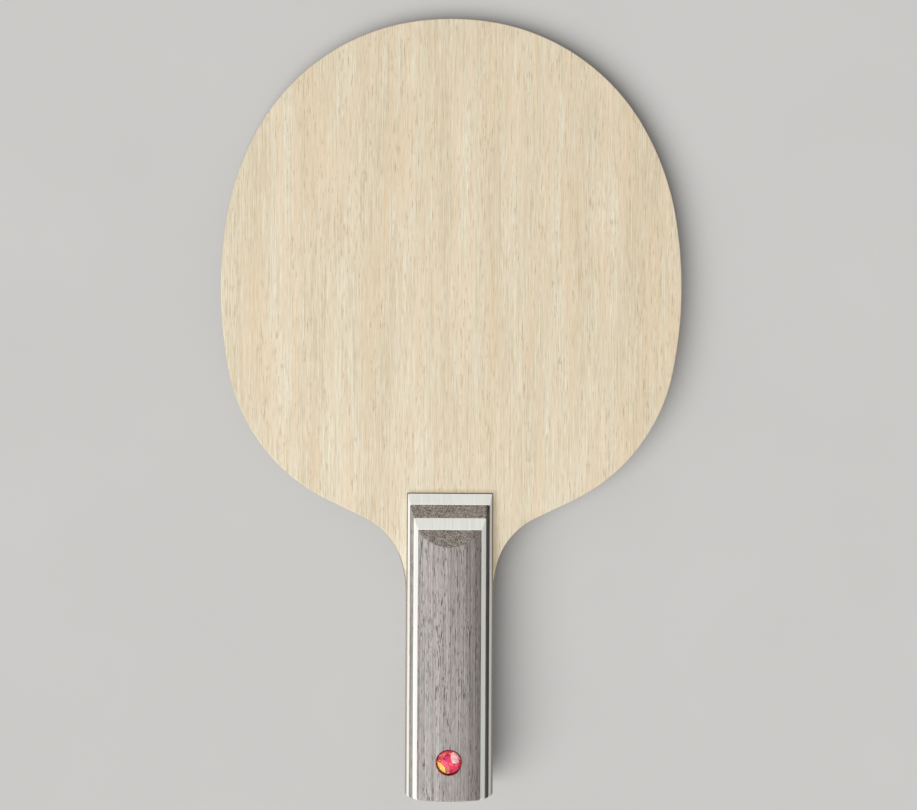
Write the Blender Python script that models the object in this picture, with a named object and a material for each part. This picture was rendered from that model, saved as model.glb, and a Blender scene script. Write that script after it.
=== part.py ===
"""A bare table tennis blade with a straight laminated handle, as the glued stack of pieces it is made of.

The blade is a seven-ply plywood with two woven fibre plies. Two handle scales, each a stack of five
layers, are glued to its tang, and a small domed badge is let into the front scale near the butt.

Frame: origin at the centre of the paddle's box. The blade lies in the XY plane with its head towards +Y
and the butt of the handle towards -Y, and its front face looks along +Z. Sizes are in millimetres, and
mesh_object turns them into metres.
"""

import math

import bmesh
import bpy

MM = 0.001

# Overall sizes.
LENGTH = 255.6
HEAD_LENGTH = 155.8
HANDLE_WIDTH = 29.0
HANDLE_THICKNESS = 21.9

# Blade plies, from the outside in. The core takes what is left of the thickness.
BLADE_THICKNESS = 5.9
OUTER_PLY = 0.6
FIBRE_PLY = 0.2
MEDIAL_PLY = 0.7
GLUE_LINE = 0.02
EDGE_ROUND = 0.4

# Outline of the head, from the middle of the crown down the right side: (radius, degrees turned).
HEAD_ARCS = {
    "crown": (85.0, 8.5),
    "shoulder": (70.4, 52.0),
    "upper side": (90.0, 20.0),
    "side": (140.0, 21.0),
    "lower side": (59.8, 53.0),
}
# The hollow curve from the head's straight taper into the side of the handle.
THROAT_ARCS = {
    "throat": (22.7, -46.8),
    "run-out": (39.8, -17.7),
}
CHORD_ERROR = 0.02

# Handle scale layers, from the blade outwards. The cap takes the rest, up to the crown.
BASE_VENEER = 0.14
LOWER_WHITE = 1.62
GREY_LAYER = 1.93
UPPER_WHITE = 1.71
RAMP_LENGTH = 17.3
BUTT_ROUND = 0.7

# The handle's cross-section: a crown of one radius at top and bottom, and flanks that draw in more and
# more quickly towards it, rounded together where they meet.
CROWN_RADIUS = 25.0
FLANK_DRAW = 6.7
FLANK_POWER = 1.85
SHOULDER_BLEND = 1.0

# Badge, let into the front cap.
BADGE_FROM_BUTT = 12.7
BADGE_RADIUS = 4.2
BADGE_DEPTH = 1.4
BADGE_PROUD = 0.15
BADGE_WALL = 0.32
BADGE_CLEARANCE = 0.05
FOIL_THICKNESS = 0.15
DOME_RISE = 0.85
BADGE_SIDES = 48

# Steps along the rounded stretches.
ROUND_STEPS = 3
FLANK_STEPS = 2
CROWN_STEPS = 10
DOME_STEPS = 8

HEAD_TIP_Y = LENGTH / 2
FOOT_Y = HEAD_TIP_Y - HEAD_LENGTH
BUTT_Y = -LENGTH / 2
HALF_WIDTH = HANDLE_WIDTH / 2
CROWN_Z = HANDLE_THICKNESS / 2
FACE_Z = BLADE_THICKNESS / 2
RAMP_SLOPE = (CROWN_Z - FACE_Z) / RAMP_LENGTH
BADGE_Y = BUTT_Y + BADGE_FROM_BUTT


# --- Curves ---------------------------------------------------------------------------------------


def section_half_width(z, inset=0.0):
    """Half the handle's width at height z, with the whole section drawn in by inset."""
    height = abs(z)
    crown = math.sqrt(2 * CROWN_RADIUS * max(CROWN_Z - inset - height, 0.0))
    flank = HALF_WIDTH - inset - FLANK_DRAW * (height / CROWN_Z) ** FLANK_POWER
    near = max(1 - abs(crown - flank) / SHOULDER_BLEND, 0.0)
    return min(crown, flank) - SHOULDER_BLEND * near**2 / 4


def quarter_round(radius, steps):
    """(drop, inset) along a quarter circle: drop from the end face, and how far the side is drawn in there."""
    angles = [math.radians(90 * step / steps) for step in range(steps + 1)]
    return [(radius * (1 - math.cos(angle)), radius * (1 - math.sin(angle))) for angle in angles]


def outward(heading):
    """Outward normal of an outline that is followed clockwise. Headings are clockwise from +X."""
    return math.sin(heading), math.cos(heading)


def follow_arc(start, radius, degrees):
    """(x, y, heading) along an arc from start. Positive degrees turn clockwise, towards the inside."""
    x, y, heading = start
    side = math.copysign(1, degrees)
    across, along = outward(heading)
    centre_x = x - side * radius * across
    centre_y = y - side * radius * along
    turn = math.radians(degrees)
    steps = math.ceil(abs(turn) / (2 * math.acos(1 - CHORD_ERROR / radius)))
    points = []
    for step in range(1, steps + 1):
        angle = heading + turn * step / steps
        across, along = outward(angle)
        points.append((centre_x + side * radius * across, centre_y + side * radius * along, angle))
    return points


def follow_arcs(start, arcs):
    points = [start]
    for radius, degrees in arcs.values():
        points += follow_arc(points[-1], radius, degrees)
    return points


def half_outline():
    """The blade's right half, from crown to butt, as (x, y, heading, grip, inset).

    grip runs from 0 on the head, whose sides are square to its faces, to 1 on the tang, whose sides
    follow the rounded section of the handle. inset is how far the butt's edge rounding draws it in.
    """
    head = follow_arcs((0.0, HEAD_TIP_Y, 0.0), HEAD_ARCS)
    x, y, heading = head[-1]
    throat = follow_arcs((x, y, heading), THROAT_ARCS)
    # The straight taper between them is as long as it takes to end on the side of the handle.
    taper = (HALF_WIDTH - throat[-1][0]) / math.cos(heading)
    shift_x = taper * math.cos(heading)
    shift_y = -taper * math.sin(heading)
    points = [(x, y, heading, 0.0, 0.0) for x, y, heading in head]
    for x, y, angle in throat:
        progress = (heading - angle) / (heading - math.pi / 2)
        grip = progress**2 * (3 - 2 * progress)
        points.append((x + shift_x, y + shift_y, angle, grip, 0.0))
    for drop, inset in reversed(quarter_round(BUTT_ROUND, ROUND_STEPS)):
        points.append((HALF_WIDTH - inset, BUTT_Y + drop, math.pi / 2, 1.0, inset))
    return points


def ply_ring(outline, z, edge_inset):
    """Right-hand points of the blade's outline at height z. edge_inset is the head's edge rounding."""
    ring = []
    for x, y, heading, grip, inset in outline:
        across, along = outward(heading)
        rounding = (1 - grip) * edge_inset
        waist = grip * (HALF_WIDTH - inset - section_half_width(z, inset))
        ring.append((x - rounding * across - waist, y - rounding * along, z))
    return ring


def ramp_y(z):
    """Where the sloping front of a handle scale stands at height z."""
    return FOOT_Y - (abs(z) - FACE_Z) / RAMP_SLOPE


def flank_profile(low, high, inset):
    """(x, z) round a flat layer between two heights, with the handle's rounded flanks at its sides."""
    heights = [low + (high - low) * step / FLANK_STEPS for step in range(FLANK_STEPS + 1)]
    right = [(section_half_width(z, inset), z) for z in heights]
    return right + [(-x, z) for x, z in reversed(right)]


def cap_profile(low, inset):
    """(x, z) round the cap: flat underneath, with the handle's crown over it."""
    top = CROWN_Z - inset
    right = []
    for step in range(CROWN_STEPS + 1):
        z = top - (top - low) * (step / CROWN_STEPS) ** 2
        right.append((section_half_width(z, inset), z))
    return right[::-1] + [(-x, z) for x, z in right[1:]]


# --- Meshes ---------------------------------------------------------------------------------------


def material(name, colour, roughness, metallic=0.0):
    made = bpy.data.materials.new(name)
    made.use_nodes = True
    shader = made.node_tree.nodes["Principled BSDF"]
    shader.inputs["Base Color"].default_value = (*colour, 1.0)
    shader.inputs["Roughness"].default_value = roughness
    shader.inputs["Metallic"].default_value = metallic
    return made


def mesh_object(name, points, faces, finish, parent):
    """A named object from points in millimetres, with its faces turned outwards and rounds shaded smooth."""
    mesh = bpy.data.meshes.new(name)
    mesh.from_pydata([[value * MM for value in point] for point in points], [], faces)
    work = bmesh.new()
    work.from_mesh(mesh)
    bmesh.ops.recalc_face_normals(work, faces=work.faces)
    if work.calc_volume(signed=True) < 0:
        bmesh.ops.reverse_faces(work, faces=work.faces)
    work.to_mesh(mesh)
    work.free()
    mesh.shade_smooth()
    mesh.set_sharp_from_angle(angle=math.radians(35))
    mesh.materials.append(finish)
    made = bpy.data.objects.new(name, mesh)
    made.parent = parent
    bpy.context.scene.collection.objects.link(made)
    return made


def wall_faces(rings, size):
    """Quads between each closed ring of points and the next, where the rings follow each other."""
    faces = []
    for ring in range(rings - 1):
        low, high = ring * size, (ring + 1) * size
        for spot in range(size):
            after = (spot + 1) % size
            faces.append((low + spot, low + after, high + after, high + spot))
    return faces


def ply(name, levels, outline, finish, parent):
    """One ply of the blade. levels are (z, edge inset) from one face to the other.

    Each flat face is a ladder of strips from side to side, so no polygon spans head and tang.
    """
    points = []
    for z, edge_inset in levels:
        right = ply_ring(outline, z, edge_inset)
        points += right + [(-x, y, z) for x, y, z in reversed(right[1:])]
    size = 2 * len(outline) - 1
    faces = wall_faces(len(levels), size)
    for first in (0, size * (len(levels) - 1)):
        faces.append((first, first + 1, first + size - 1))
        for rung in range(1, len(outline) - 1):
            left = first + size - rung
            faces.append((first + rung, first + rung + 1, left - 1, left))
    return mesh_object(name, points, faces, finish, parent)


def scale_layer(name, profile, finish, parent):
    """One layer of a handle scale. profile(inset) gives its (x, z) outline, drawn in by inset."""
    points = []
    for drop, inset in quarter_round(BUTT_ROUND, ROUND_STEPS):
        points += [(x, BUTT_Y + drop, z) for x, z in profile(inset)]
    points += [(x, ramp_y(z), z) for x, z in profile(0.0)]
    size = len(profile(0.0))
    rings = len(points) // size
    faces = wall_faces(rings, size)
    faces.append(tuple(range(size)))
    faces.append(tuple(range((rings - 1) * size, rings * size)))
    return mesh_object(name, points, faces, finish, parent)


def turned_piece(name, profile, finish, parent):
    """A round piece about the badge's axis, from (radius, z) points that start and end on the axis."""
    points = []
    rims = profile[1:-1]
    for radius, z in rims:
        for side in range(BADGE_SIDES):
            angle = 2 * math.pi * side / BADGE_SIDES
            points.append((radius * math.cos(angle), BADGE_Y + radius * math.sin(angle), z))
    faces = wall_faces(len(rims), BADGE_SIDES)
    for first, (_, z) in ((0, profile[0]), ((len(rims) - 1) * BADGE_SIDES, profile[-1])):
        points.append((0.0, BADGE_Y, z))
        for side in range(BADGE_SIDES):
            faces.append((first + side, first + (side + 1) % BADGE_SIDES, len(points) - 1))
    return mesh_object(name, points, faces, finish, parent)


# --- Pieces ---------------------------------------------------------------------------------------


def outer_levels():
    """(z, edge inset) of an outer ply, from its glued face to its outer face with the rounded edge."""
    inner = (FACE_Z - OUTER_PLY, 0.0)
    rounded = [(FACE_Z - drop, inset) for drop, inset in quarter_round(EDGE_ROUND, ROUND_STEPS)]
    return [inner] + sorted(rounded)


def make_blade(parent):
    """Seven plies: outer, fibre and medial on each side of the core, with a glue line between each two."""
    outline = half_outline()
    koto = (0.72, 0.62, 0.46)
    ply("front_outer_ply", outer_levels(), outline, material("front_koto", koto, 0.55), parent)
    back_levels = [(-z, inset) for z, inset in outer_levels()]
    ply("back_outer_ply", back_levels, outline, material("back_koto", koto, 0.55), parent)
    top = FACE_Z - OUTER_PLY - GLUE_LINE
    layers = (
        ("fibre_ply", FIBRE_PLY, (0.16, 0.19, 0.17), 0.45),
        ("medial_ply", MEDIAL_PLY, (0.60, 0.48, 0.33), 0.6),
    )
    for kind, thickness, colour, roughness in layers:
        for side, sign in (("front", 1), ("back", -1)):
            name = f"{side}_{kind}"
            levels = [(sign * top, 0.0), (sign * (top - thickness), 0.0)]
            ply(name, levels, outline, material(name, colour, roughness), parent)
        top -= thickness + GLUE_LINE
    core_levels = [(top, 0.0), (0.0, 0.0), (-top, 0.0)]
    ply("core_ply", core_levels, outline, material("core_ply", (0.55, 0.42, 0.28), 0.65), parent)


def make_scale(side, sign, parent):
    """The five layers of one handle scale, and the cap's object."""
    layers = (
        ("base_veneer", BASE_VENEER, (0.05, 0.035, 0.025), 0.6),
        ("lower_white_layer", LOWER_WHITE, (0.72, 0.71, 0.66), 0.5),
        ("grey_layer", GREY_LAYER, (0.27, 0.24, 0.21), 0.6),
        ("upper_white_layer", UPPER_WHITE, (0.72, 0.71, 0.66), 0.5),
    )
    low = FACE_Z + GLUE_LINE
    for kind, thickness, colour, roughness in layers:
        name = f"{side}_scale_{kind}"
        high = low + thickness

        def profile(inset, low=low, high=high):
            return [(x, sign * z) for x, z in flank_profile(low, high, inset)]

        scale_layer(name, profile, material(name, colour, roughness), parent)
        low = high + GLUE_LINE

    def crowned(inset):
        return [(x, sign * z) for x, z in cap_profile(low, inset)]

    name = f"{side}_scale_cap"
    return scale_layer(name, crowned, material(name, (0.34, 0.31, 0.29), 0.5), parent)


def cut_badge_seat(cap, parent):
    """Bores the badge's flat-bottomed seat into the front cap."""
    radius = BADGE_RADIUS + BADGE_CLEARANCE
    bottom = CROWN_Z - BADGE_DEPTH
    above = CROWN_Z + BADGE_DEPTH
    profile = [(0.0, bottom), (radius, bottom), (radius, above), (0.0, above)]
    cutter = turned_piece("badge_seat_cutter", profile, cap.data.materials[0], parent)
    cutter.hide_render = True
    cutter.display_type = "WIRE"
    bore = cap.modifiers.new("badge seat", "BOOLEAN")
    bore.operation = "DIFFERENCE"
    bore.solver = "EXACT"
    bore.object = cutter


def make_badge(parent):
    """A shallow metal cup, the coloured foil on its floor, and the clear dome over the foil."""
    floor = CROWN_Z - BADGE_DEPTH + GLUE_LINE
    rim = CROWN_Z + BADGE_PROUD
    bore = BADGE_RADIUS - BADGE_WALL
    inside = floor + BADGE_WALL
    outside = [(0.0, floor), (BADGE_RADIUS, floor), (BADGE_RADIUS, rim)]
    cup = outside + [(bore, rim), (bore, inside), (0.0, inside)]
    turned_piece("badge_cup", cup, material("badge_cup", (0.10, 0.015, 0.03), 0.25, 0.9), parent)
    radius = bore - BADGE_CLEARANCE
    low = inside + GLUE_LINE
    high = low + FOIL_THICKNESS
    foil = [(0.0, low), (radius, low), (radius, high), (0.0, high)]
    turned_piece("badge_foil", foil, material("badge_foil", (0.75, 0.05, 0.20), 0.25, 0.6), parent)
    low = high + GLUE_LINE
    dome = [(0.0, low), (radius, low)]
    for step in range(DOME_STEPS):
        angle = math.radians(90 * step / DOME_STEPS)
        dome.append((radius * math.cos(angle), rim + DOME_RISE * math.sin(angle)))
    dome.append((0.0, rim + DOME_RISE))
    turned_piece("badge_dome", dome, material("badge_dome", (0.95, 0.75, 0.78), 0.05), parent)


def main():
    for leftover in list(bpy.data.objects):
        bpy.data.objects.remove(leftover)
    paddle = bpy.data.objects.new("paddle", None)
    bpy.context.scene.collection.objects.link(paddle)
    make_blade(paddle)
    front_cap = make_scale("front", 1, paddle)
    make_scale("back", -1, paddle)
    cut_badge_seat(front_cap, paddle)
    make_badge(paddle)


main()
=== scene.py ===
import itertools
import math
import random

import bmesh
import bpy
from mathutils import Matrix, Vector, geometry


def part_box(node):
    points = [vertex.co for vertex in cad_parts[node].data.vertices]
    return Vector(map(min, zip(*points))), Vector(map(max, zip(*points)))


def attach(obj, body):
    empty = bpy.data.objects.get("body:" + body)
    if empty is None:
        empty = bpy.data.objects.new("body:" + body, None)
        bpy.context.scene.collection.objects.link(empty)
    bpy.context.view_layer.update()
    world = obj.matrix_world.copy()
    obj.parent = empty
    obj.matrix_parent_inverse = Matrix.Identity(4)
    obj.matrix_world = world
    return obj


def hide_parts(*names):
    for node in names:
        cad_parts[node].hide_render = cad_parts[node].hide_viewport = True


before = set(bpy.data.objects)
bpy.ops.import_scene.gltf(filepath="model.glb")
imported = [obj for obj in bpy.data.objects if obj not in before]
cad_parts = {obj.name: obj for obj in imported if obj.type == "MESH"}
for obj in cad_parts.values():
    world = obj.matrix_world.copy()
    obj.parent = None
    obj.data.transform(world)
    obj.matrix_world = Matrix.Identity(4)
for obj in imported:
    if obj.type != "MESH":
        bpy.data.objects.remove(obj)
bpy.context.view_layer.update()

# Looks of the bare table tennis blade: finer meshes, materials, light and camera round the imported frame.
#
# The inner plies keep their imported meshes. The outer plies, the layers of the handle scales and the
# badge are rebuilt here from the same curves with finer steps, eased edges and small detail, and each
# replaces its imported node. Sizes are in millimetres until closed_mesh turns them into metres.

MM = 0.001
SIDES = (("front", 1), ("back", -1))

# Curves, roundings and gaps as they are in the design. Arcs are (radius, degrees).
HEAD_ARCS = ((85.0, 8.5), (70.4, 52.0), (90.0, 20.0), (140.0, 21.0), (59.8, 53.0))
THROAT_ARCS = ((22.7, -46.8), (39.8, -17.7))
HANDLE_HALF_WIDTH = 14.5
CROWN_RADIUS = 25.0
FLANK_DRAW = 6.7
FLANK_POWER = 1.85
SHOULDER_BLEND = 1.0
RAMP_LENGTH = 17.3
EDGE_ROUND = 0.4
BUTT_ROUND = 0.7
BADGE_CLEARANCE = 0.05
GLUE_LINE = 0.02

# Finer detail than the design has, and how finely the meshes are cut.
RAMP_EASE = 0.4
CRESCENT_EASE = 0.16
CHORD_ERROR = 0.002
ROUND_STEPS = 8
RAMP_EASE_STEPS = 5
LAYER_STEPS = 8
CAP_BEND_ROWS = 56
CAP_STRAIGHT_ROWS = 40
CAP_COLUMNS = 40
DOME_STEPS = 24
BADGE_SIDES = 96

# Angles, in degrees, over which a piece's edges stay sharp.
USUAL_CREASE = 35.0
CAP_CREASE = 30.0
DOME_CREASE = 60.0
FACET_CREASE = 1.0


def box_mm(node):
    """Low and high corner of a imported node's box, in millimetres."""
    low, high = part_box(node)
    return Vector(low) / MM, Vector(high) / MM


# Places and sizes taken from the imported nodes.
PLY_LOW, PLY_HIGH = box_mm("front_outer_ply")
HEAD_TIP_Y = PLY_HIGH.y
BUTT_Y = PLY_LOW.y
FACE_Z = PLY_HIGH.z
CROWN_Z = -box_mm("back_scale_cap")[0].z
RAMP_SLOPE = (CROWN_Z - FACE_Z) / RAMP_LENGTH
BASE_LOW, BASE_HIGH = box_mm("front_scale_base_veneer")
FOOT_Y = BASE_HIGH.y + (BASE_LOW.z - FACE_Z) / RAMP_SLOPE
CUP_LOW, CUP_HIGH = box_mm("badge_cup")
BADGE_X = (CUP_LOW.x + CUP_HIGH.x) / 2
BADGE_Y = (CUP_LOW.y + CUP_HIGH.y) / 2
BADGE_RADIUS = (CUP_HIGH.x - CUP_LOW.x) / 2


# --- Curves ---------------------------------------------------------------------------------------


def section_half_width(z, inset=0.0):
    """Half the handle's width at height z, with the whole section drawn in by inset."""
    height = abs(z)
    crown = math.sqrt(2 * CROWN_RADIUS * max(CROWN_Z - inset - height, 0.0))
    flank = HANDLE_HALF_WIDTH - inset - FLANK_DRAW * (height / CROWN_Z) ** FLANK_POWER
    near = max(1 - abs(crown - flank) / SHOULDER_BLEND, 0.0)
    return min(crown, flank) - SHOULDER_BLEND * near**2 / 4


def quarter_round(radius, steps):
    """(drop, inset) along a quarter circle: the depth below the end, and how far the side is drawn in."""
    angles = [math.radians(90 * step / steps) for step in range(steps + 1)]
    return [(radius * (1 - math.cos(angle)), radius * (1 - math.sin(angle))) for angle in angles]


def outward(heading):
    """Outward normal of an outline that is followed clockwise. Headings are clockwise from +X."""
    return math.sin(heading), math.cos(heading)


def follow_arcs(start, arcs):
    """(x, y, heading) along arcs of (radius, degrees). Positive degrees turn clockwise."""
    points = [start]
    for radius, degrees in arcs:
        x, y, heading = points[-1]
        side = math.copysign(radius, degrees)
        across, along = outward(heading)
        centre_x, centre_y = x - side * across, y - side * along
        turn = math.radians(degrees)
        steps = math.ceil(abs(turn) / (2 * math.acos(1 - CHORD_ERROR / radius)))
        for step in range(1, steps + 1):
            angle = heading + turn * step / steps
            across, along = outward(angle)
            points.append((centre_x + side * across, centre_y + side * along, angle))
    return points


def half_outline():
    """The blade's right half, from crown to butt, as (x, y, heading, grip, inset).

    grip runs from 0 on the head, with square sides, to 1 on the tang, whose sides follow the handle's
    section. inset is how far the rounding of the butt draws the outline in.
    """
    head = follow_arcs((0.0, HEAD_TIP_Y, 0.0), HEAD_ARCS)
    x, y, heading = head[-1]
    throat = follow_arcs((x, y, heading), THROAT_ARCS)
    taper = (HANDLE_HALF_WIDTH - throat[-1][0]) / math.cos(heading)
    shift_x = taper * math.cos(heading)
    shift_y = -taper * math.sin(heading)
    points = [(x, y, heading, 0.0, 0.0) for x, y, heading in head]
    for x, y, angle in throat:
        progress = (heading - angle) / (heading - math.pi / 2)
        grip = progress**2 * (3 - 2 * progress)
        points.append((x + shift_x, y + shift_y, angle, grip, 0.0))
    for drop, inset in reversed(quarter_round(BUTT_ROUND, ROUND_STEPS)):
        points.append((HANDLE_HALF_WIDTH - inset, BUTT_Y + drop, math.pi / 2, 1.0, inset))
    return points


def ply_ring(outline, z, edge_inset):
    """Right-hand points of the blade's outline at height z."""
    ring = []
    for x, y, heading, grip, inset in outline:
        across, along = outward(heading)
        rounding = (1 - grip) * edge_inset
        waist = grip * (HANDLE_HALF_WIDTH - inset - section_half_width(z, inset))
        ring.append((x - rounding * across - waist, y - rounding * along, z))
    return ring


def ramp_y(z):
    """Where the sloping front of a handle scale stands at height z."""
    return FOOT_Y - (abs(z) - FACE_Z) / RAMP_SLOPE


def layer_ring(z):
    """Right-hand points of a scale layer at height z, from the ramp's eased corner to the rounded butt."""
    half = section_half_width(z)
    front = ramp_y(z)
    ring = []
    for drop, inset in quarter_round(RAMP_EASE, RAMP_EASE_STEPS):
        ring.append((half - inset, front - drop, z))
    for drop, inset in reversed(quarter_round(BUTT_ROUND, ROUND_STEPS)):
        ring.append((section_half_width(z, inset), BUTT_Y + drop, z))
    return ring


# --- Meshes ---------------------------------------------------------------------------------------


def closed_mesh(name, points, faces):
    """A mesh from points in millimetres, with its faces turned outwards."""
    mesh = bpy.data.meshes.new(name)
    mesh.from_pydata([[value * MM for value in point] for point in points], [], faces)
    work = bmesh.new()
    work.from_mesh(mesh)
    bmesh.ops.recalc_face_normals(work, faces=work.faces)
    if work.calc_volume(signed=True) < 0:
        bmesh.ops.reverse_faces(work, faces=work.faces)
    work.to_mesh(mesh)
    work.free()
    return mesh


def finish_mesh(mesh, finish, sharp):
    """Gives a mesh its only material, and smooth shading with creases over sharp degrees."""
    mesh.materials.clear()
    mesh.materials.append(finish)
    mesh.shade_smooth()
    mesh.set_sharp_from_angle(angle=math.radians(sharp))


def placed(name, data):
    """A new object in the scene, round a mesh, a lamp or a camera."""
    made = bpy.data.objects.new(name, data)
    bpy.context.scene.collection.objects.link(made)
    return made


def mesh_piece(points, faces, node, finish, sharp=USUAL_CREASE):
    """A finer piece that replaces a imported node."""
    name = f"fine_{node}"
    mesh = closed_mesh(name, points, faces)
    finish_mesh(mesh, finish, sharp)
    piece = placed(name, mesh)
    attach(piece, "root")
    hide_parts(node)
    return piece


def wall_faces(rings, size):
    """Quads between each closed ring of points and the next."""
    faces = []
    for ring in range(rings - 1):
        low, high = ring * size, (ring + 1) * size
        for spot in range(size):
            after = (spot + 1) % size
            faces.append((low + spot, low + after, high + after, high + spot))
    return faces


def mirrored_stack(right_rings, pointed):
    """Points and faces of a stack of outlines, given by their right halves, closed by ladders of strips.

    A pointed outline starts with one point on the middle line.
    """
    points = []
    for right in right_rings:
        left = right[1:] if pointed else right
        points += right + [(-x, y, z) for x, y, z in reversed(left)]
    size = len(points) // len(right_rings)
    count = len(right_rings[0])
    faces = wall_faces(len(right_rings), size)
    for first in (0, size * (len(right_rings) - 1)):
        if pointed:
            faces.append((first, first + 1, first + size - 1))
        start = 1 if pointed else 0
        for rung in range(start, count - 1):
            left = first + size - 1 - (rung - start)
            faces.append((first + rung, first + rung + 1, left - 1, left))
    return points, faces


def make_outer_ply(side, sign, finish):
    """An outer ply: flat, with its outer edge rounded by sanding."""
    node = f"{side}_outer_ply"
    low, high = box_mm(node)
    inner = min(abs(low.z), abs(high.z))
    rounded = quarter_round(EDGE_ROUND, ROUND_STEPS)
    levels = [(inner, 0.0)] + sorted((FACE_Z - drop, inset) for drop, inset in rounded)
    outline = half_outline()
    rings = [ply_ring(outline, sign * z, inset) for z, inset in levels]
    points, faces = mirrored_stack(rings, pointed=True)
    mesh_piece(points, faces, node, finish)


def make_layer(side, sign, kind, finish):
    """A flat layer of a handle scale."""
    node = f"{side}_scale_{kind}"
    low, high = box_mm(node)
    bottom, top = sorted((abs(low.z), abs(high.z)))
    heights = [bottom + (top - bottom) * step / LAYER_STEPS for step in range(LAYER_STEPS + 1)]
    rings = [layer_ring(sign * z) for z in heights]
    points, faces = mirrored_stack(rings, pointed=False)
    mesh_piece(points, faces, node, finish)


def soft_minimum(first, second, blend):
    """The smaller of two heights, rounded over where they meet."""
    near = max(blend - abs(first - second), 0.0) / blend
    return min(first, second) - near * near * blend / 4


def cap_rows(bottom):
    """(y, inset) of the cap's rows, from the ramp's foot to the butt, close together where it bends."""
    past_crescent = 1.5
    foot = ramp_y(bottom)
    bend = foot - ramp_y(CROWN_Z) + past_crescent
    last = foot - bend
    straight = BUTT_Y + BUTT_ROUND - last
    rows = [(foot - bend * step / CAP_BEND_ROWS, 0.0) for step in range(CAP_BEND_ROWS + 1)]
    rows += [(last + straight * step / CAP_STRAIGHT_ROWS, 0.0) for step in range(1, CAP_STRAIGHT_ROWS)]
    rows += [(BUTT_Y + drop, inset) for drop, inset in reversed(quarter_round(BUTT_ROUND, ROUND_STEPS))]
    return rows


def crown_columns(bottom, inset):
    """(x, z) over the crown from left to right, down to the cap's underside at both ends."""
    top = CROWN_Z - inset
    right = []
    for step in range(CAP_COLUMNS + 1):
        z = top - (top - bottom) * (step / CAP_COLUMNS) ** 2
        right.append((section_half_width(z, inset), z))
    return [(-x, z) for x, z in right[::-1]] + right[1:]


def cap_points(rows, bottom, sign):
    """Points of the cap's top, row by row: the lower of the crown and the ramp, down to the underside."""
    points = []
    for y, inset in rows:
        ramp = FACE_Z + (FOOT_Y - y) * RAMP_SLOPE
        for x, crown in crown_columns(bottom, inset):
            rise = max(soft_minimum(crown - bottom, ramp - bottom, CRESCENT_EASE), 0.0)
            at_edge = crown == bottom or y == rows[0][0]
            points.append((x, y, sign * (bottom if at_edge else bottom + rise)))
    return points


def make_cap(side, sign, finish):
    """The crowned top layer of a scale, with its ramp running out in a crescent."""
    node = f"{side}_scale_cap"
    low, high = box_mm(node)
    bottom = min(abs(low.z), abs(high.z))
    rows = cap_rows(bottom)
    points = cap_points(rows, bottom, sign)
    width = len(points) // len(rows)
    faces = []
    for row in range(len(rows) - 1):
        for column in range(width - 1):
            spot = row * width + column
            faces.append((spot, spot + 1, spot + width + 1, spot + width))
        if row:
            spot = row * width
            faces.append((spot, spot + width - 1, spot + 2 * width - 1, spot + width))
    faces.append(tuple(range(width)) + (2 * width - 1, width))
    faces.append(tuple(range(len(points) - width, len(points))))
    return mesh_piece(points, faces, node, finish, CAP_CREASE)


def lathe(profile):
    """Points and faces turned about the badge's axis from (radius, z) points that start and end on it."""
    points = []
    rims = profile[1:-1]
    for radius, z in rims:
        for side in range(BADGE_SIDES):
            angle = 2 * math.pi * side / BADGE_SIDES
            points.append((BADGE_X + radius * math.cos(angle), BADGE_Y + radius * math.sin(angle), z))
    faces = wall_faces(len(rims), BADGE_SIDES)
    last = (len(rims) - 1) * BADGE_SIDES
    for first, (_, z) in ((0, profile[0]), (last, profile[-1])):
        points.append((BADGE_X, BADGE_Y, z))
        for side in range(BADGE_SIDES):
            faces.append((first + side, first + (side + 1) % BADGE_SIDES, len(points) - 1))
    return points, faces


def bore_badge_seat(cap, finish):
    """Cuts the badge's flat-bottomed seat into the front cap and applies the cut."""
    overcut = 1.0
    radius = BADGE_RADIUS + BADGE_CLEARANCE
    floor = CUP_LOW.z - GLUE_LINE
    above = CUP_HIGH.z + overcut
    points, faces = lathe([(0.0, floor), (radius, floor), (radius, above), (0.0, above)])
    cutter = placed("badge_seat_cutter", closed_mesh("badge_seat_cutter", points, faces))
    cut = cap.modifiers.new("badge seat", "BOOLEAN")
    cut.operation = "DIFFERENCE"
    cut.object = cutter
    graph = bpy.context.evaluated_depsgraph_get()
    bored = bpy.data.meshes.new_from_object(cap.evaluated_get(graph))
    cap.modifiers.clear()
    cap.data = bored
    finish_mesh(bored, finish, CAP_CREASE)
    bpy.data.objects.remove(cutter)


# --- Badge ----------------------------------------------------------------------------------------


def make_cup(finish):
    """The badge's cup, with a chamfered foot and a rounded lip. Its wall and floor are equally thick."""
    chamfer = 0.1
    foil_radius = box_mm("badge_foil")[1].x - BADGE_X
    wall = BADGE_RADIUS - foil_radius - BADGE_CLEARANCE
    lip = wall / 2
    inner = BADGE_RADIUS - wall
    floor = CUP_LOW.z + wall
    profile = [
        (0.0, CUP_LOW.z),
        (BADGE_RADIUS - chamfer, CUP_LOW.z),
        (BADGE_RADIUS, CUP_LOW.z + chamfer),
    ]
    for step in range(ROUND_STEPS + 1):
        angle = math.pi * step / ROUND_STEPS
        profile.append((inner + lip + lip * math.cos(angle), CUP_HIGH.z - lip + lip * math.sin(angle)))
    profile += [(inner, floor), (0.0, floor)]
    points, faces = lathe(profile)
    mesh_piece(points, faces, "badge_cup", finish)


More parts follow.
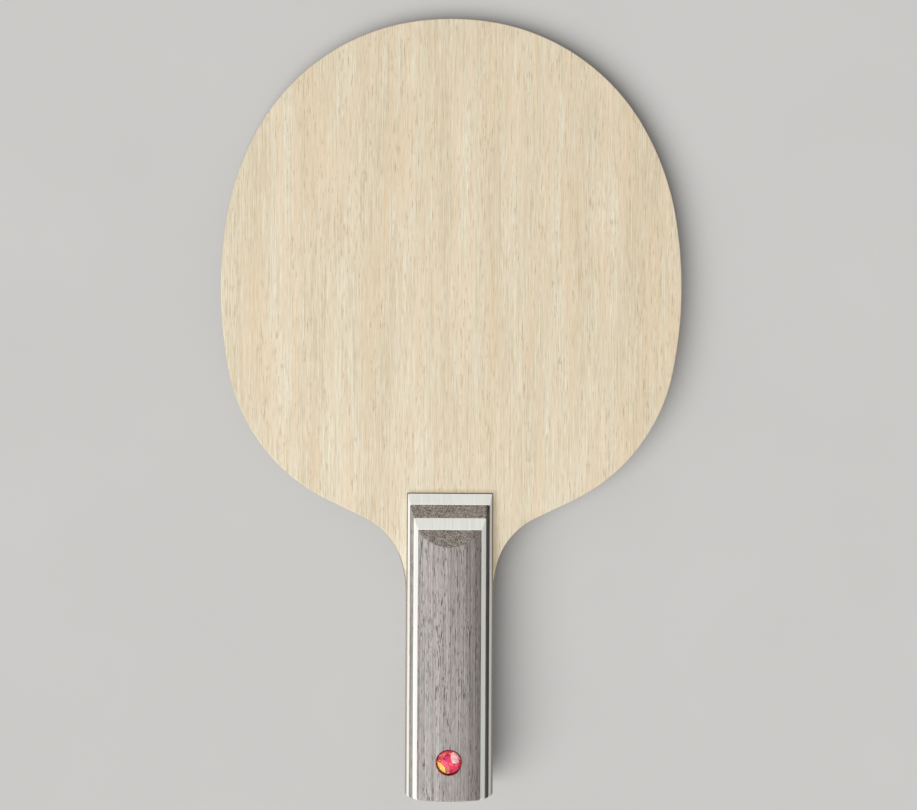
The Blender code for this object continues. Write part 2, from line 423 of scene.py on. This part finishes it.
def make_dome(finish):
    """The clear dome: it starts above the foil's highest folds and rounds over from just below the lip."""
    over_folds = 0.14
    below_lip = 0.12
    low, high = box_mm("badge_dome")
    radius = (high.x - low.x) / 2
    shoulder = CUP_HIGH.z - below_lip
    rise = high.z - shoulder
    profile = [(0.0, low.z + over_folds), (radius, low.z + over_folds)]
    for step in range(DOME_STEPS):
        angle = math.radians(90 * step / DOME_STEPS)
        profile.append((radius * math.cos(angle), shoulder + rise * math.sin(angle)))
    profile.append((0.0, high.z))
    points, faces = lathe(profile)
    mesh_piece(points, faces, "badge_dome", finish, DOME_CREASE)


FOIL_REDS = (
    (0.58, 0.004, 0.060),
    (0.68, 0.010, 0.110),
    (0.74, 0.014, 0.150),
    (0.60, 0.002, 0.080),
    (0.80, 0.045, 0.110),
    (0.30, 0.000, 0.025),
)
# Painted glints: salmon facets of the foil.
FOIL_SALMON_GLINT = ((1.0, 0.16, 0.14), (0.90, 0.08, 0.10), (1.0, 0.24, 0.20))
# Painted highlight: the pale patch high on the right of the foil.
FOIL_PAINTED_HIGHLIGHT = ((0.98, 0.60, 0.58), (0.92, 0.72, 0.68), (1.0, 0.84, 0.76), (0.74, 0.46, 0.52))
FOIL_YELLOW = ((1.0, 0.74, 0.01), (1.0, 0.84, 0.03), (1.0, 0.66, 0.01))
FOIL_BROWN = ((0.30, 0.05, 0.01), (0.42, 0.10, 0.01))
SALMON_GLINT_CHANCE = 0.45
FOIL_SEED = 7

# The foil's inner points stand on rims of (share of the radius, count), each shaken out of its place.
FOIL_RIMS = ((0.0, 1), (0.30, 5), (0.60, 9), (0.86, 14))
FOIL_EDGE_POINTS = 36
SHAKE_ROUND = 0.3
SHAKE_OUT = 0.06
FOLD_LOW, FOLD_HIGH = -0.02, 0.08


def foil_colour(x, y, radius, draw):
    """Colour of a foil facet whose middle is at (x, y) from the foil's. Places are shares of its radius.

    The foil is red, with a yellow crescent edged in brown low on the left, a pale patch high on the
    right that is a painted highlight, and salmon facets, painted glints, scattered low on the right and
    high on the left.
    """

    def within(share_x, share_y, reach):
        return math.hypot(x - share_x * radius, y - share_y * radius) < reach * radius

    crescent = (-0.80 * x - 0.60 * y) / radius
    if crescent > 0.60:
        return draw.choice(FOIL_YELLOW)
    if crescent > 0.46:
        return draw.choice(FOIL_BROWN)
    # Painted highlight high on the right.
    if within(0.50, 0.36, 0.42):
        return draw.choice(FOIL_PAINTED_HIGHLIGHT)
    # Painted glints: salmon facets low on the right and high on the left.
    low_right = within(0.34, -0.36, 0.34)
    high_left = y > 0.35 * radius and x < 0.1 * radius and not within(0.0, 0.0, 0.66)
    if (low_right or high_left) and draw.random() < SALMON_GLINT_CHANCE:
        return draw.choice(FOIL_SALMON_GLINT)
    return draw.choice(FOIL_REDS)


def foil_plan(radius, draw):
    """The foil seen from above, as points and triangles: shaken points inside an even edge."""
    plan = []
    for share, count in FOIL_RIMS:
        for spot in range(count):
            angle = 2 * math.pi * (spot + draw.uniform(-SHAKE_ROUND, SHAKE_ROUND)) / count
            reach = radius * (share + draw.uniform(-SHAKE_OUT, SHAKE_OUT)) if share else 0.0
            plan.append(Vector((reach * math.cos(angle), reach * math.sin(angle))))
    for spot in range(FOIL_EDGE_POINTS):
        angle = 2 * math.pi * spot / FOIL_EDGE_POINTS
        plan.append(Vector((radius * math.cos(angle), radius * math.sin(angle))))
    convex_hull, merge_distance = 0, 1e-6
    found = geometry.delaunay_2d_cdt(plan, [], [], convex_hull, merge_distance)
    return found[0], found[2]


def tint_foil(piece, radius, draw):
    """Gives each facet of the foil a colour, in the attribute that its material reads."""
    tint = piece.data.color_attributes.new("tint", "FLOAT_COLOR", "CORNER")
    for face in piece.data.polygons:
        x = face.center.x / MM - BADGE_X
        y = face.center.y / MM - BADGE_Y
        colour = foil_colour(x, y, radius, draw)
        for corner in face.loop_indices:
            tint.data[corner].color = (*colour, 1.0)


def make_foil(finish):
    """The foil on the cup's floor: a thin disc whose top is folded into small irregular facets."""
    draw = random.Random(FOIL_SEED)
    low, high = box_mm("badge_foil")
    radius = (high.x - low.x) / 2
    plan, triangles = foil_plan(radius, draw)
    at_edge = 0.99 * radius
    rim = [spot for spot, point in enumerate(plan) if point.length > at_edge]
    rim.sort(key=lambda spot: math.atan2(plan[spot].y, plan[spot].x))
    points = []
    for spot, point in enumerate(plan):
        height = high.z if spot in rim else high.z + draw.uniform(FOLD_LOW, FOLD_HIGH)
        points.append((BADGE_X + point.x, BADGE_Y + point.y, height))
    faces = [tuple(face) for face in triangles]
    base = len(points)
    for step, spot in enumerate(rim):
        after = (step + 1) % len(rim)
        points.append((points[spot][0], points[spot][1], low.z))
        faces.append((spot, rim[after], base + after, base + step))
    faces.append(tuple(range(base, base + len(rim))))
    piece = mesh_piece(points, faces, "badge_foil", finish, FACET_CREASE)
    tint_foil(piece, radius, draw)


# --- Materials ------------------------------------------------------------------------------------


# Sizes given to noise and grain are in millimetres. Noise keeps near 0.5, so that the limits given to
# remap lie round it: the closer they are, the harder the marks' edges, and the higher, the rarer the marks.

# The Mix node's sockets for colours, which come after those for numbers and vectors.
MIX_FIRST, MIX_SECOND, MIX_RESULT = 6, 7, 2


class Graph:
    """A material's node tree. Most methods add nodes and return the output that matters.

    shift moves all noise in the material, so that each piece has a pattern of its own.
    """

    def __init__(self, name, shift=(0.0, 0.0, 0.0)):
        self.made = bpy.data.materials.new(name)
        self.made.use_nodes = True
        self.tree = self.made.node_tree
        self.shader = self.tree.nodes["Principled BSDF"]
        self.place = self.add("ShaderNodeTexCoord").outputs["Object"]
        self.grain_place = self.place
        self.shift = shift

    def add(self, kind, inputs=None, **settings):
        """Adds a node, sets its settings, and feeds its inputs with values or outputs of other nodes."""
        node = self.tree.nodes.new(kind)
        for key, value in settings.items():
            setattr(node, key, value)
        for key, value in (inputs or {}).items():
            self.feed(node.inputs[key], value)
        return node

    def feed(self, socket, value):
        """Links an output to a socket, or sets the socket to a plain value."""
        if isinstance(value, bpy.types.NodeSocket):
            self.tree.links.new(value, socket)
        else:
            socket.default_value = value

    def shade(self, **inputs):
        """Feeds inputs of the Principled shader: base_color stands for Base Color, and so on."""
        for key, value in inputs.items():
            self.feed(self.shader.inputs[key.replace("_", " ").title()], value)

    def math(self, operation, *values):
        """The result of a Math node."""
        node = self.add("ShaderNodeMath", operation=operation)
        for spot, value in enumerate(values):
            self.feed(node.inputs[spot], value)
        return node.outputs[0]

    def split(self, vector, axis):
        """The X, Y or Z of a vector."""
        return self.add("ShaderNodeSeparateXYZ", {"Vector": vector}).outputs[axis]

    def remap(self, value, low, high, to_low=0.0, to_high=1.0):
        """to_low where value is low and to_high where it is high, with a smooth step between."""
        inputs = {
            "Value": value,
            "From Min": low,
            "From Max": high,
            "To Min": to_low,
            "To Max": to_high,
        }
        return self.add("ShaderNodeMapRange", inputs, interpolation_type="SMOOTHSTEP").outputs[0]

    def mix(self, factor, first, second):
        """From first, where factor is 0, to second, where it is 1. Each is a colour or an output."""
        node = self.add("ShaderNodeMix", data_type="RGBA")
        self.feed(node.inputs["Factor"], factor)
        for spot, value in ((MIX_FIRST, first), (MIX_SECOND, second)):
            if isinstance(value, tuple):
                value = (*value, 1.0)
            self.feed(node.inputs[spot], value)
        return node.outputs[MIX_RESULT]

    def stain(self, colour, other, mask, share):
        """colour, with share of other laid over it where mask is 1."""
        return self.mix(self.math("MULTIPLY", mask, share), colour, other)

    def scaled(self, where, size, offset=(0.0, 0.0, 0.0)):
        """The place in units of size, which is (x, y, z) in millimetres."""
        scale = [1 / (MM * length) for length in size]
        node = self.add("ShaderNodeMapping", {"Vector": where, "Scale": scale, "Location": offset})
        return node.outputs[0]

    def noise(self, size, detail=2.0, where=None):
        """Noise from 0 to 1 in spots of about size, which is (x, y, z) in millimetres."""
        where = self.scaled(where or self.place, size, self.shift)
        inputs = {"Vector": where, "Scale": 1.0, "Detail": detail}
        return self.add("ShaderNodeTexNoise", inputs).outputs["Fac"]

    def grain(self, width, length):
        """Noise in streaks along the piece, of about width by length millimetres."""
        return self.noise((width, length, width), 1.0, self.grain_place)

    def wander(self, reach, size):
        """Bends the grain sideways by up to about reach millimetres, in spots of about size."""
        push = self.math("MULTIPLY", self.math("SUBTRACT", self.noise(size), 0.5), reach * MM * 2)
        across = self.add("ShaderNodeCombineXYZ", {"X": push})
        moved = self.add("ShaderNodeVectorMath", operation="ADD")
        self.feed(moved.inputs[0], self.place)
        self.feed(moved.inputs[1], across.outputs[0])
        self.grain_place = moved.outputs[0]

    def tone(self, terms, middle=0.5):
        """middle plus (value - 0.5) * weight for each (value, weight) of terms, held between 0 and 1."""
        total = middle
        for value, weight in terms:
            part = self.math("MULTIPLY", self.math("SUBTRACT", value, 0.5), weight)
            total = self.math("ADD", total, part)
        return self.add("ShaderNodeClamp", {"Value": total}).outputs[0]

    def streaks(self, rows, middle):
        """The tone of grain in streaks of (width, length, weight)."""
        return self.tone([(self.grain(width, length), weight) for width, length, weight in rows], middle)

    def bands(self, stops):
        """A value that runs smoothly through (x in millimetres, value) stops across the grain."""
        low, high = stops[0][0], stops[-1][0]
        inputs = {
            "Value": self.split(self.grain_place, "X"),
            "From Min": low * MM,
            "From Max": high * MM,
        }
        reach = self.add("ShaderNodeMapRange", inputs).outputs[0]
        node = self.add("ShaderNodeValToRGB", {"Fac": reach})
        node.color_ramp.interpolation = "EASE"
        marks = node.color_ramp.elements
        while len(marks) < len(stops):
            marks.new(0.5)
        for mark, (x, value) in zip(marks, stops):
            mark.position = (x - low) / (high - low)
            mark.color = (value, value, value, 1.0)
        return node.outputs["Color"]

    def bump(self, height, depth):
        """Relief of height (0 to 1) over depth millimetres."""
        node = self.add("ShaderNodeBump", {"Height": height, "Distance": depth * MM, "Strength": 1.0})
        self.feed(self.shader.inputs["Normal"], node.outputs[0])


def srgb(red, green, blue):
    """Linear colour from 0 to 255 screen values."""

    def linear(value):
        value /= 255
        return value / 12.92 if value <= 0.04045 else ((value + 0.055) / 1.055) ** 2.4

    return linear(red), linear(green), linear(blue)


KOTO_TAN = srgb(183, 160, 122)
KOTO_PALE = srgb(231, 224, 203)
KOTO_WARM = srgb(221, 197, 165)
KOTO_PORE = srgb(150, 124, 92)
# Painted shade in the crease along the scale's sides.
KOTO_CREASE_SHADE = srgb(78, 62, 40)
# Painted shadow beside the scale's foot and right side.
KOTO_PAINTED_SHADOW = srgb(136, 112, 76)
KOTO_EDGE = srgb(160, 153, 142)
# Streaks of the face's grain: (width and length in millimetres, weight).
KOTO_STREAKS = (
    (0.27, 5.0, 0.74),
    (0.30, 26.0, 0.76),
    (0.55, 14.0, 0.32),
    (1.1, 26.0, 0.20),
    (2.4, 50.0, 0.17),
    (5.0, 90.0, 0.15),
    (12.0, 140.0, 0.15),
)
# Middles of the tan growth bands across the front face. The wood is palest half way between them.
KOTO_TAN_BANDS = (-65.0, -46.0, -24.0, -2.0, 12.5, 26.0, 42.5, 61.0)


def band_stops(facing):
    """(x, lightness) across a face, from one side of the head to the other."""
    tan, pale, rim = 0.1, 0.85, 0.5
    bands = sorted(facing * x for x in KOTO_TAN_BANDS)
    stops = [(PLY_LOW.x, rim), (bands[0], tan)]
    for before, after in zip(bands, bands[1:]):
        stops += [((before + after) / 2, pale), (after, tan)]
    return stops + [(PLY_HIGH.x, rim)]


def face_marks(graph):
    """Marks on a face, each from 0 to 1: a painted crease shade, a painted shadow and the sanded edge.

    The painted crease shade is a thin dark line on both sides of the scale, the painted shadow a soft shade
    at the foot of the scale and on its right, and the edge covers the sanded sides of the ply.
    """
    half_foot = section_half_width(FACE_Z)

    def beside(middle, fades_out, full):
        """Fades in towards the line x = middle, between two distances from the scale's side."""
        offset = graph.math("SUBTRACT", graph.split(graph.place, "X"), middle * MM)
        distance = graph.math("ABSOLUTE", offset)
        return graph.remap(distance, (half_foot + fades_out) * MM, (half_foot + full) * MM)

    def below(fades_out, full):
        """Fades in towards the butt, between two distances from the scale's foot."""
        return graph.remap(graph.split(graph.place, "Y"), (FOOT_Y + fades_out) * MM, (FOOT_Y + full) * MM)

    # Painted shade: a thin dark line on the face in the crease along both sides of the scale.
    crease_shade = graph.math("MULTIPLY", beside(0.0, 0.42, 0.18), below(0.0, -0.2))
    # Painted shadow: a soft shade at the scale's foot and on its right, where the handle's shadow falls.
    painted_shadow = graph.math("MULTIPLY", beside(1.0, 2.2, -0.8), below(1.6, -0.2))
    upright = graph.split(graph.add("ShaderNodeNewGeometry").outputs["Normal"], "Z")
    edge = graph.remap(graph.math("ABSOLUTE", upright), 0.9, 0.5)
    level = graph.math("SUBTRACT", 1.0, edge)
    return graph.math("MULTIPLY", crease_shade, level), graph.math("MULTIPLY", painted_shadow, level), edge


def koto(name, seed, facing):
    """Pale face veneer: fine straight grain in cream and tan, with short pores that gather in bands."""
    graph = Graph(name, (seed * 17.0, seed * 5.0, seed * 3.0))
    graph.wander(0.45, (9.0, 60.0, 9.0))
    bands = graph.math("SUBTRACT", graph.bands(band_stops(facing)), 0.5)
    strength = graph.remap(graph.grain(30.0, 110.0), 0.3, 0.7, 0.3, 1.0)
    bands = graph.math("MULTIPLY", graph.math("MULTIPLY", bands, strength), 0.22)
    middle = graph.math("ADD", bands, 0.56)
    tone = graph.streaks(KOTO_STREAKS, middle)
    colour = graph.mix(tone, KOTO_TAN, KOTO_PALE)
    warm = graph.remap(graph.grain(2.6, 60.0), 0.42, 0.68)
    colour = graph.stain(colour, KOTO_WARM, warm, 0.42)
    gathered = graph.remap(graph.grain(2.4, 45.0), 0.36, 0.62, 0.2, 1.0)
    pores = graph.math("MULTIPLY", graph.remap(graph.grain(0.28, 4.0), 0.60, 0.72), gathered)
    colour = graph.stain(colour, KOTO_PORE, pores, 0.50)
    crease_shade, painted_shadow, edge = face_marks(graph)
    # Painted shadow round the foot and right side of the scale.
    colour = graph.stain(colour, KOTO_PAINTED_SHADOW, painted_shadow, 0.42)
    # Painted shade: a dark line in the crease along the scale.
    colour = graph.stain(colour, KOTO_CREASE_SHADE, crease_shade, 0.72)
    colour = graph.stain(colour, KOTO_EDGE, edge, 0.6)
    graph.shade(base_color=colour, roughness=graph.remap(tone, 0.2, 0.8, 0.62, 0.5))
    graph.bump(graph.math("SUBTRACT", tone, pores), 0.012)
    return graph.made


GREY_LIGHT = srgb(176, 170, 166)
GREY_DARK = srgb(104, 98, 93)
GREY_PINK = srgb(160, 146, 144)
GREY_CUT_LIGHT = srgb(174, 164, 154)
GREY_CUT_DARK = srgb(80, 72, 64)
GREY_PORE = srgb(50, 43, 37)
# Painted shade on the handle's right side, away from the light: (x where it begins, x where it is darkest,
# colour, share).
GREY_LAYER_RIGHT_SHADE = (11.4, 12.4, srgb(30, 24, 18), 0.92)
CAP_RIGHT_SHADE = (4.5, 10.5, srgb(82, 70, 56), 0.42)
GREY_STREAKS = (
    (0.25, 3.2, 1.15),
    (0.30, 70.0, 1.75),
    (0.6, 60.0, 0.65),
    (1.2, 80.0, 0.40),
    (2.6, 60.0, 0.28),
)


def end_grain(graph):
    """How far a surface cuts across the grain: 1 on the ramp and on the butt, and 0 along the handle."""
    along = graph.split(graph.add("ShaderNodeNewGeometry").outputs["Normal"], "Y")
    ramp = graph.remap(along, 0.04, 0.30)
    butt = graph.remap(along, -0.75, -0.97)
    return graph.math("MAXIMUM", ramp, butt)


def cut_wood(graph):
    """Colour of the grey wood where it is cut across the grain: fine speckles, in patches."""
    speckle = graph.noise((0.30, 0.34, 0.34), 2.0, graph.grain_place)
    patches = graph.noise((1.6, 1.0, 1.0), 1.0, graph.grain_place)
    tone = graph.tone(((speckle, 4.2), (patches, 1.0)), 0.57)
    return graph.mix(tone, GREY_CUT_DARK, GREY_CUT_LIGHT)


def grey_wood(name, seed, right_shade):
    """Grey dyed wood: close lines and dark open pores. Cut across the grain it is darker and speckled."""
    graph = Graph(name, (seed * 11.0, seed * 7.0, seed * 13.0))
    graph.wander(0.10, (9.0, 70.0, 9.0))
    colour = graph.mix(graph.streaks(GREY_STREAKS, 0.58), GREY_DARK, GREY_LIGHT)
    pink = graph.remap(graph.grain(1.6, 26.0), 0.46, 0.64)
    colour = graph.stain(colour, GREY_PINK, pink, 0.35)
    colour = graph.mix(end_grain(graph), colour, cut_wood(graph))
    # Painted shade: the wood darkens towards the handle's right side, away from the light.
    begin, darkest, shade, share = right_shade
    shaded = graph.remap(graph.split(graph.place, "X"), begin * MM, darkest * MM)
    colour = graph.stain(colour, shade, shaded, share)
    gathered = graph.remap(graph.grain(1.4, 30.0), 0.36, 0.60, 0.35, 1.0)
    short = graph.remap(graph.grain(0.26, 2.8), 0.62, 0.67)
    long = graph.remap(graph.grain(0.30, 6.0), 0.65, 0.70)
    pores = graph.math("MULTIPLY", graph.math("MAXIMUM", short, long), gathered)
    colour = graph.stain(colour, GREY_PORE, pores, 0.85)
    graph.shade(base_color=colour, roughness=graph.remap(pores, 0.0, 1.0, 0.42, 0.7))
    graph.bump(graph.math("SUBTRACT", 1.0, pores), 0.025)
    return graph.made


def white_layer(name, seed):
    """White dyed veneer with a faint straight grain under satin lacquer."""
    graph = Graph(name, (seed * 19.0, seed * 3.0, seed * 7.0))
    fine = graph.noise((0.34, 30.0, 3.0), 1.0)
    broad = graph.noise((0.9, 40.0, 5.0), 1.0)
    tone = graph.tone(((fine, 0.75), (broad, 0.55)))
    colour = graph.mix(tone, srgb(218, 218, 210), srgb(251, 251, 246))
    graph.shade(base_color=colour, roughness=graph.remap(tone, 0.2, 0.8, 0.46, 0.36))
    graph.bump(tone, 0.01)
    return graph.made


def dark_veneer(name):
    """Thin dark veneer with a short soft grain."""
    graph = Graph(name)
    tone = graph.noise((0.4, 5.0, 0.4))
    colour = graph.mix(tone, srgb(62, 52, 43), srgb(104, 90, 76))
    graph.shade(base_color=colour, roughness=graph.remap(tone, 0.3, 0.7, 0.6, 0.45))
    graph.bump(tone, 0.01)
    return graph.made


def soft_wood(name, seed, light, dark, crosswise):
    """Inner veneer or core, seen at the blade's edge: growth rings as soft lines, and open pores."""
    graph = Graph(name, (seed * 5.0, seed * 11.0, seed * 2.0))

    def grain(width, length):
        size = (length, width, width) if crosswise else (width, length, width)
        return graph.noise(size, 1.0)

    tone = graph.tone(((grain(0.4, 5.0), 0.5), (grain(1.5, 24.0), 0.5), (grain(6.0, 60.0), 0.4)))
    pores = graph.remap(grain(0.3, 2.5), 0.60, 0.72)
    colour = graph.stain(graph.mix(tone, dark, light), dark, pores, 0.5)
    graph.shade(base_color=colour, roughness=0.66)
    graph.bump(graph.math("SUBTRACT", 1.0, pores), 0.03)
    return graph.made


def woven_fibre(name):
    """Resin-bonded cloth of dark and golden yarns, one millimetre to a yarn."""
    graph = Graph(name)
    weave = graph.scaled(graph.place, (2.0, 2.0, 2.0))
    across, along = [
        graph.math("SINE", graph.math("MULTIPLY", graph.split(weave, axis), 2 * math.pi)) for axis in "XY"
    ]
    over = graph.remap(graph.math("MULTIPLY", across, along), -0.3, 0.3)
    colour = graph.mix(over, srgb(44, 44, 46), srgb(132, 126, 104))
    colour = graph.stain(colour, srgb(20, 20, 20), graph.noise((0.15, 0.15, 0.15)), 0.3)
    graph.shade(base_color=colour, roughness=0.38)
    graph.bump(over, 0.02)
    return graph.made


def badge_metal(name):
    """Dark red coated metal, a little worn."""
    graph = Graph(name)
    tone = graph.noise((0.6, 0.6, 0.6), detail=3.0)
    colour = graph.mix(tone, srgb(120, 14, 40), srgb(176, 60, 66))
    graph.shade(base_color=colour, metallic=0.85, roughness=graph.remap(tone, 0.3, 0.7, 0.25, 0.38))
    graph.bump(tone, 0.004)
    return graph.made


def badge_foil(name):
    """Metallised foil, coloured facet by facet."""
    graph = Graph(name)
    tint = graph.add("ShaderNodeVertexColor", layer_name="tint").outputs["Color"]
    sparkle = graph.noise((0.9, 0.9, 0.9))
    colour = graph.stain(tint, (0.50, 0.0, 0.05), sparkle, 0.3)
    graph.shade(base_color=colour, metallic=0.2, roughness=0.3)
    graph.bump(sparkle, 0.02)
    return graph.made


def clear_resin(name):
    """Clear polished resin, through which the foil shows.

    It mirrors the light only where it stands out of the cup: the Fresnel node takes the inner faces
    for fully mirroring, and they would hide the foil in a low view.
    """
    below_lip = 0.10
    graph = Graph(name)
    smudge = graph.noise((2.5, 2.5, 2.5))
    graph.shade(base_color=(1.0, 1.0, 1.0, 1.0), metallic=1.0)
    graph.shade(roughness=graph.remap(smudge, 0.3, 0.8, 0.04, 0.12))
    clear = graph.add("ShaderNodeBsdfTransparent", {"Color": (1.0, 0.96, 0.96, 1.0)})
    facing = graph.add("ShaderNodeFresnel", {"IOR": 1.3}).outputs[0]
    height = graph.split(graph.place, "Z")
    outside = graph.remap(height, (CUP_HIGH.z - below_lip) * MM, CUP_HIGH.z * MM)
    gloss = graph.math("MULTIPLY", facing, outside)
    blend = graph.add("ShaderNodeMixShader", {0: gloss, 1: clear.outputs[0], 2: graph.shader.outputs[0]})
    graph.feed(graph.tree.nodes["Material Output"].inputs["Surface"], blend.outputs[0])
    return graph.made


def pale_floor(name):
    """Matt pale grey with faint large clouds."""
    graph = Graph(name)
    tone = graph.noise((60.0, 60.0, 60.0), detail=3.0)
    colour = graph.mix(tone, srgb(186, 185, 183), srgb(194, 193, 191))
    graph.shade(base_color=colour, roughness=0.8)
    return graph.made


# --- Scene ----------------------------------------------------------------------------------------


def dress_node(node, finish):
    """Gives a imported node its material."""
    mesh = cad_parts[node].data
    mesh.materials.clear()
    mesh.materials.append(finish)


def make_plies():
    """The blade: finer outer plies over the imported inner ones."""
    for seed, (side, sign) in enumerate(SIDES, 1):
        make_outer_ply(side, sign, koto(f"koto_{side}", seed, sign))
    fibre = woven_fibre("woven_fibre")
    medial = soft_wood("medial_veneer", 3, srgb(176, 164, 148), srgb(136, 122, 104), crosswise=True)
    core = soft_wood("core_wood", 4, srgb(190, 178, 160), srgb(150, 135, 114), crosswise=False)
    dress_node("core_ply", core)
    for side, _ in SIDES:
        dress_node(f"{side}_fibre_ply", fibre)
        dress_node(f"{side}_medial_ply", medial)


def make_scales():
    """Both handle scales. A seed for each layer gives it a grain of its own."""
    seeds = itertools.count(5)
    base = dark_veneer("dark_veneer")
    for side, sign in SIDES:
        make_layer(side, sign, "base_veneer", base)
        for kind in ("lower_white_layer", "upper_white_layer"):
            make_layer(side, sign, kind, white_layer(f"{side}_{kind}", next(seeds)))
        grey = grey_wood(f"{side}_grey", next(seeds), GREY_LAYER_RIGHT_SHADE)
        make_layer(side, sign, "grey_layer", grey)
        panel = grey_wood(f"{side}_cap", next(seeds), CAP_RIGHT_SHADE)
        cap = make_cap(side, sign, panel)
        if side == "front":
            bore_badge_seat(cap, panel)


def make_badge():
    """The badge in its seat, from the cup up."""
    make_cup(badge_metal("badge_metal"))
    make_foil(badge_foil("badge_foil"))
    make_dome(clear_resin("clear_resin"))


def make_floor():
    """A pale table top under the paddle, which rests on the tip of its head and on the back scale.

    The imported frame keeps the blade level, so the table is tilted to meet both places.
    """
    half = 6000.0
    gap = 0.02
    tip = Vector((0.0, HEAD_TIP_Y - EDGE_ROUND, -FACE_Z)) * MM
    heel = Vector((0.0, ramp_y(CROWN_Z), -CROWN_Z)) * MM
    slope = math.atan2(tip.z - heel.z, tip.y - heel.y)
    mesh = bpy.data.meshes.new("table_top")
    corners = [(-half, -half, 0.0), (half, -half, 0.0), (half, half, 0.0), (-half, half, 0.0)]
    mesh.from_pydata([Vector(corner) * MM for corner in corners], [], [(0, 1, 2, 3)])
    mesh.materials.append(pale_floor("pale_floor"))
    floor = placed("table_top", mesh)
    floor.location = heel - Vector((0.0, 0.0, gap * MM))
    floor.rotation_euler = (slope, 0.0, 0.0)


def make_sun(towards, strength, spread):
    """A broad soft light, so far off that it is even all over.

    towards is the direction in which it stands, and spread its width in degrees.
    """
    lamp = bpy.data.lights.new("softbox", "SUN")
    lamp.energy = strength
    lamp.angle = math.radians(spread)
    made = placed("softbox", lamp)
    made.rotation_euler = Vector(towards).to_track_quat("Z", "Y").to_euler()


def make_world(horizon, sky, sky_from):
    """White surroundings, of strength horizon at the horizon, where they meet the table's brightness.

    The strength changes smoothly to sky, which it reaches where the direction's Z is sky_from.
    """
    world = bpy.data.worlds.new("studio")
    world.use_nodes = True
    nodes = world.node_tree.nodes
    links = world.node_tree.links
    place = nodes.new("ShaderNodeTexCoord")
    parts = nodes.new("ShaderNodeSeparateXYZ")
    reach = nodes.new("ShaderNodeMapRange")
    reach.interpolation_type = "SMOOTHSTEP"
    reach.inputs["From Min"].default_value = 0.0
    reach.inputs["From Max"].default_value = sky_from
    reach.inputs["To Min"].default_value = horizon
    reach.inputs["To Max"].default_value = sky
    links.new(place.outputs["Generated"], parts.inputs[0])
    links.new(parts.outputs["Z"], reach.inputs["Value"])
    links.new(reach.outputs[0], nodes["Background"].inputs["Strength"])
    nodes["Background"].inputs["Color"].default_value = (1.0, 1.0, 1.0, 1.0)
    bpy.context.scene.world = world


def make_camera():
    """Straight down over the blade, as far off as a product camera, and turned a little on its axis."""
    distance = 550.0
    view_width = 301.25
    aim_x, aim_y = 2.6, 0.8
    turn = 0.29
    camera = bpy.data.cameras.new("camera")
    camera.sensor_width = 36.0
    camera.lens = camera.sensor_width * distance / view_width
    made = placed("camera", camera)
    made.location = Vector((aim_x, aim_y, FACE_Z + distance)) * MM
    made.rotation_euler = (0.0, 0.0, math.radians(turn))
    bpy.context.scene.camera = made


make_camera()
make_plies()
make_scales()
make_badge()
make_floor()
make_world(horizon=0.60, sky=0.355, sky_from=0.35)
make_sun(towards=(-0.47, -0.50, 0.875), strength=3.0, spread=56.0)
bpy.context.scene.view_settings.view_transform = "Standard"
